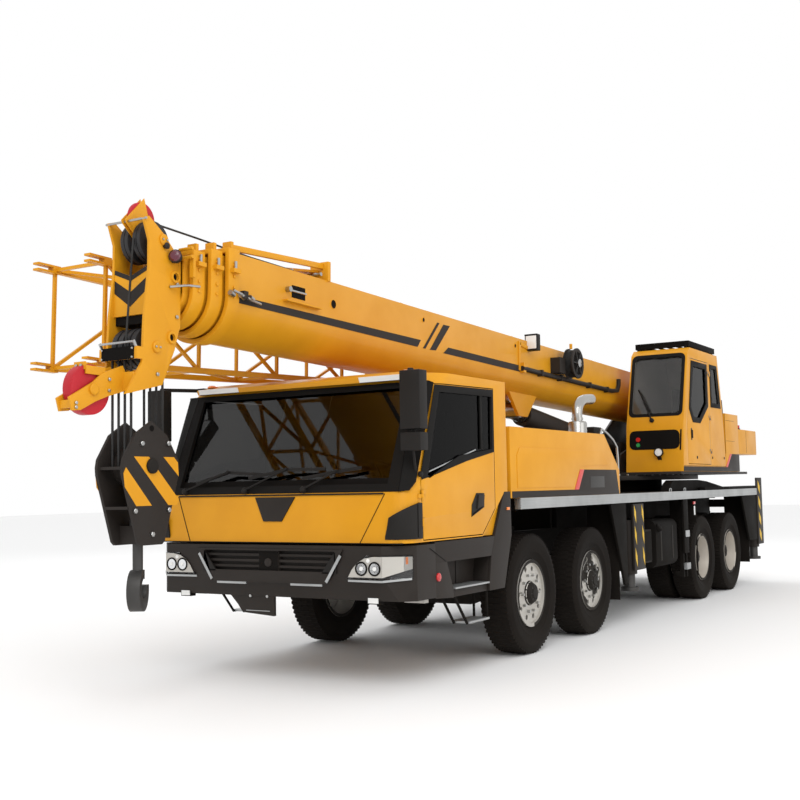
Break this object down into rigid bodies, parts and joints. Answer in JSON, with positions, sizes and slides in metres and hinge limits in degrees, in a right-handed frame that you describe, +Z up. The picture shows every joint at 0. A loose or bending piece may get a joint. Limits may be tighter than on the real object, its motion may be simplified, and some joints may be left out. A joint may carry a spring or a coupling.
{
  "type": "truck-mounted telescopic mobile crane",
  "caption": "Truck crane with telescopic boom, slewing upper works, hook block, stowed fly jib, sliding outriggers and steered front axles.",
  "frame": {"origin": "on the ground under the middle of the crane's outline", "axes": "+X is forward, +Y is the driver's left, +Z is up"},
  "size_m": [12.8522, 2.84, 3.5702],
  "materials": {
    "yellow_paint": "glossy orange-yellow enamel",
    "dark_paint": "satin charcoal enamel",
    "chassis_paint": "satin black chassis enamel",
    "bright_deck": "brushed",
    "tyre_rubber": "matt",
    "axle_iron": "painted black",
    "tinted_glass": "tinted",
    "lamp_glass": "clear",
    "cab_trim": "matt",
    "seat_cloth": "woven",
    "polished_steel": "polished",
    "piston_steel": "ground",
    "sheave_plastic": "cast nylon",
    "wire_rope": "greased wire",
    "hook_iron": "forged"
  },
  "bodies": {
    "carrier": {"chassis_frame": "chassis_paint", "axles": "axle_iron", "deck_plates": "chassis_paint", "deck_edges": "bright_deck", "fenders": "dark_paint", "cab_shell": "yellow_paint", "windscreen": "tinted_glass", "cab_inside": "seat_cloth", "bumper": "dark_paint", "head_lamps": "lamp_glass", "cab_mirrors": "cab_trim", "engine_hood": "yellow_paint", "engine_block": "chassis_paint", "exhaust": "polished_steel", "side_tanks": "chassis_paint"},
    "turntable": {"slewing_frame": "dark_paint", "counterweight": "yellow_paint", "winches": "chassis_paint", "crane_cab_shell": "yellow_paint", "crane_cab_glass": "tinted_glass", "crane_cab_inside": "cab_trim"},
    "crane_door": {"crane_cab_door": "yellow_paint", "crane_door_glass": "tinted_glass"},
    "door_left": {"cab_door_left": "yellow_paint", "door_glass_left": "tinted_glass"},
    "door_right": {"cab_door_right": "yellow_paint", "door_glass_right": "tinted_glass"},
    "boom": {"boom_base": "yellow_paint", "boom_fittings": "yellow_paint", "fly_jib": "yellow_paint"},
    "boom_2": {"boom_section_2": "yellow_paint"},
    "boom_3": {"boom_section_3": "yellow_paint"},
    "boom_4": {"boom_section_4": "yellow_paint", "head_sheaves": "sheave_plastic"},
    "luff_barrel": {"luff_barrel": "dark_paint"},
    "luff_rod": {"luff_rod": "piston_steel"},
    "hook_block": {"hook_block": "dark_paint", "hoist_falls": "wire_rope"},
    "hook": {"hook": "hook_iron"},
    "knuckle_1_left": {"knuckle_1_left": "axle_iron"},
    "wheel_1_left": {"wheel_1_left": "tyre_rubber"},
    "knuckle_1_right": {"knuckle_1_right": "axle_iron"},
    "wheel_1_right": {"wheel_1_right": "tyre_rubber"},
    "knuckle_2_left": {"knuckle_2_left": "axle_iron"},
    "wheel_2_left": {"wheel_2_left": "tyre_rubber"},
    "knuckle_2_right": {"knuckle_2_right": "axle_iron"},
    "wheel_2_right": {"wheel_2_right": "tyre_rubber"},
    "wheels_3_left": {"wheels_3_left": "tyre_rubber"},
    "wheels_3_right": {"wheels_3_right": "tyre_rubber"},
    "wheels_4_left": {"wheels_4_left": "tyre_rubber"},
    "wheels_4_right": {"wheels_4_right": "tyre_rubber"},
    "beam_front_left": {"outrigger_beam_front_left": "dark_paint"},
    "jack_front_left": {"jack_front_left": "piston_steel"},
    "beam_front_right": {"outrigger_beam_front_right": "dark_paint"},
    "jack_front_right": {"jack_front_right": "piston_steel"},
    "beam_rear_left": {"outrigger_beam_rear_left": "dark_paint"},
    "jack_rear_left": {"jack_rear_left": "piston_steel"},
    "beam_rear_right": {"outrigger_beam_rear_right": "dark_paint"},
    "jack_rear_right": {"jack_rear_right": "piston_steel"}
  },
  "joints": [
    {"name": "steer_1_left", "type": "hinge", "parent": "carrier", "child": "knuckle_1_left", "pos_m": [1.97391, 0.82, 0.542], "axis": [0, 0, 1], "range_deg": [-35, 35]},
    {"name": "roll_1_left", "type": "hinge", "parent": "knuckle_1_left", "child": "wheel_1_left", "pos_m": [1.97391, 1.043, 0.542], "axis": [0, 1, 0], "continuous": true},
    {"name": "steer_1_right", "type": "hinge", "parent": "carrier", "child": "knuckle_1_right", "pos_m": [1.97391, -0.82, 0.542], "axis": [0, 0, 1], "range_deg": [-35, 35]},
    {"name": "roll_1_right", "type": "hinge", "parent": "knuckle_1_right", "child": "wheel_1_right", "pos_m": [1.97391, -1.043, 0.542], "axis": [0, 1, 0], "continuous": true},
    {"name": "steer_2_left", "type": "hinge", "parent": "carrier", "child": "knuckle_2_left", "pos_m": [0.50891, 0.82, 0.542], "axis": [0, 0, 1], "range_deg": [-24.5, 24.5]},
    {"name": "roll_2_left", "type": "hinge", "parent": "knuckle_2_left", "child": "wheel_2_left", "pos_m": [0.50891, 1.043, 0.542], "axis": [0, 1, 0], "continuous": true},
    {"name": "steer_2_right", "type": "hinge", "parent": "carrier", "child": "knuckle_2_right", "pos_m": [0.50891, -0.82, 0.542], "axis": [0, 0, 1], "range_deg": [-24.5, 24.5]},
    {"name": "roll_2_right", "type": "hinge", "parent": "knuckle_2_right", "child": "wheel_2_right", "pos_m": [0.50891, -1.043, 0.542], "axis": [0, 1, 0], "continuous": true},
    {"name": "roll_3_left", "type": "hinge", "parent": "carrier", "child": "wheels_3_left", "pos_m": [-3.29609, 0.9, 0.542], "axis": [0, 1, 0], "continuous": true},
    {"name": "roll_3_right", "type": "hinge", "parent": "carrier", "child": "wheels_3_right", "pos_m": [-3.29609, -0.9, 0.542], "axis": [0, 1, 0], "continuous": true},
    {"name": "roll_4_left", "type": "hinge", "parent": "carrier", "child": "wheels_4_left", "pos_m": [-4.63609, 0.9, 0.542], "axis": [0, 1, 0], "continuous": true},
    {"name": "roll_4_right", "type": "hinge", "parent": "carrier", "child": "wheels_4_right", "pos_m": [-4.63609, -0.9, 0.542], "axis": [0, 1, 0], "continuous": true},
    {"name": "slew", "type": "hinge", "parent": "carrier", "child": "turntable", "pos_m": [-3.32609, 0, 1.56], "axis": [0, 0, 1], "continuous": true},
    {"name": "luff", "type": "hinge", "parent": "turntable", "child": "boom", "pos_m": [-4.97609, 0, 2.64], "axis": [0, -1, 0], "range_deg": [0, 80]},
    {"name": "luff_barrel_turn", "type": "hinge", "parent": "turntable", "child": "luff_barrel", "pos_m": [-3.22609, 0, 1.99], "axis": [0, -1, 0], "range_deg": [0, 89.79]},
    {"name": "luff_rod_out", "type": "slide", "parent": "luff_barrel", "child": "luff_rod", "axis": [0.9927, 0, 0.1205], "range_m": [0, 2.2949]},
    {"name": "extend_2", "type": "slide", "parent": "boom", "child": "boom_2", "axis": [0.9997, 0, 0.0262], "range_m": [0, 7.2]},
    {"name": "extend_3", "type": "slide", "parent": "boom_2", "child": "boom_3", "axis": [0.9997, 0, 0.0262], "range_m": [0, 7.2]},
    {"name": "extend_4", "type": "slide", "parent": "boom_3", "child": "boom_4", "axis": [0.9997, 0, 0.0262], "range_m": [0, 7.2]},
    {"name": "hook_block_hang", "type": "hinge", "parent": "boom_4", "child": "hook_block", "pos_m": [5.76107, 0, 2.50702], "axis": [0, 1, 0], "range_deg": [0, 80]},
    {"name": "hook_turn", "type": "hinge", "parent": "hook_block", "child": "hook", "pos_m": [5.76107, 0, 1.16], "axis": [0, 0, 1], "continuous": true},
    {"name": "beam_front_left_out", "type": "slide", "parent": "carrier", "child": "beam_front_left", "axis": [0, 1, 0], "range_m": [0, 1.65]},
    {"name": "jack_front_left_down", "type": "slide", "parent": "beam_front_left", "child": "jack_front_left", "axis": [0, 0, -1], "range_m": [0, 0.45]},
    {"name": "beam_front_right_out", "type": "slide", "parent": "carrier", "child": "beam_front_right", "axis": [0, -1, 0], "range_m": [0, 1.65]},
    {"name": "jack_front_right_down", "type": "slide", "parent": "beam_front_right", "child": "jack_front_right", "axis": [0, 0, -1], "range_m": [0, 0.45]},
    {"name": "beam_rear_left_out", "type": "slide", "parent": "carrier", "child": "beam_rear_left", "axis": [0, 1, 0], "range_m": [0, 1.65]},
    {"name": "jack_rear_left_down", "type": "slide", "parent": "beam_rear_left", "child": "jack_rear_left", "axis": [0, 0, -1], "range_m": [0, 0.45]},
    {"name": "beam_rear_right_out", "type": "slide", "parent": "carrier", "child": "beam_rear_right", "axis": [0, -1, 0], "range_m": [0, 1.65]},
    {"name": "jack_rear_right_down", "type": "slide", "parent": "beam_rear_right", "child": "jack_rear_right", "axis": [0, 0, -1], "range_m": [0, 0.45]},
    {"name": "door_left_open", "type": "hinge", "parent": "carrier", "child": "door_left", "pos_m": [4.07391, 1.262, 1.7], "axis": [0, 0, -1], "range_deg": [0, 70]},
    {"name": "door_right_open", "type": "hinge", "parent": "carrier", "child": "door_right", "pos_m": [4.07391, -1.262, 1.7], "axis": [0, 0, 1], "range_deg": [0, 70]},
    {"name": "crane_door_open", "type": "hinge", "parent": "turntable", "child": "crane_door", "pos_m": [-3.69109, 1.262, 2.4], "axis": [0, 0, 1], "range_deg": [0, 75]}
  ],
  "couplings": [
    {"joint": "steer_1_right", "follows": "steer_1_left", "ratio": 1},
    {"joint": "steer_2_left", "follows": "steer_1_left", "ratio": 0.7},
    {"joint": "steer_2_right", "follows": "steer_1_left", "ratio": 0.7},
    {"joint": "luff_barrel_turn", "follows": "luff", "ratio": 1.1218},
    {"joint": "luff_rod_out", "follows": "luff", "m_per_rad": 1.6422},
    {"joint": "extend_3", "follows": "extend_2", "ratio": 1},
    {"joint": "extend_4", "follows": "extend_2", "ratio": 1},
    {"joint": "hook_block_hang", "follows": "luff", "ratio": 1}
  ]
}
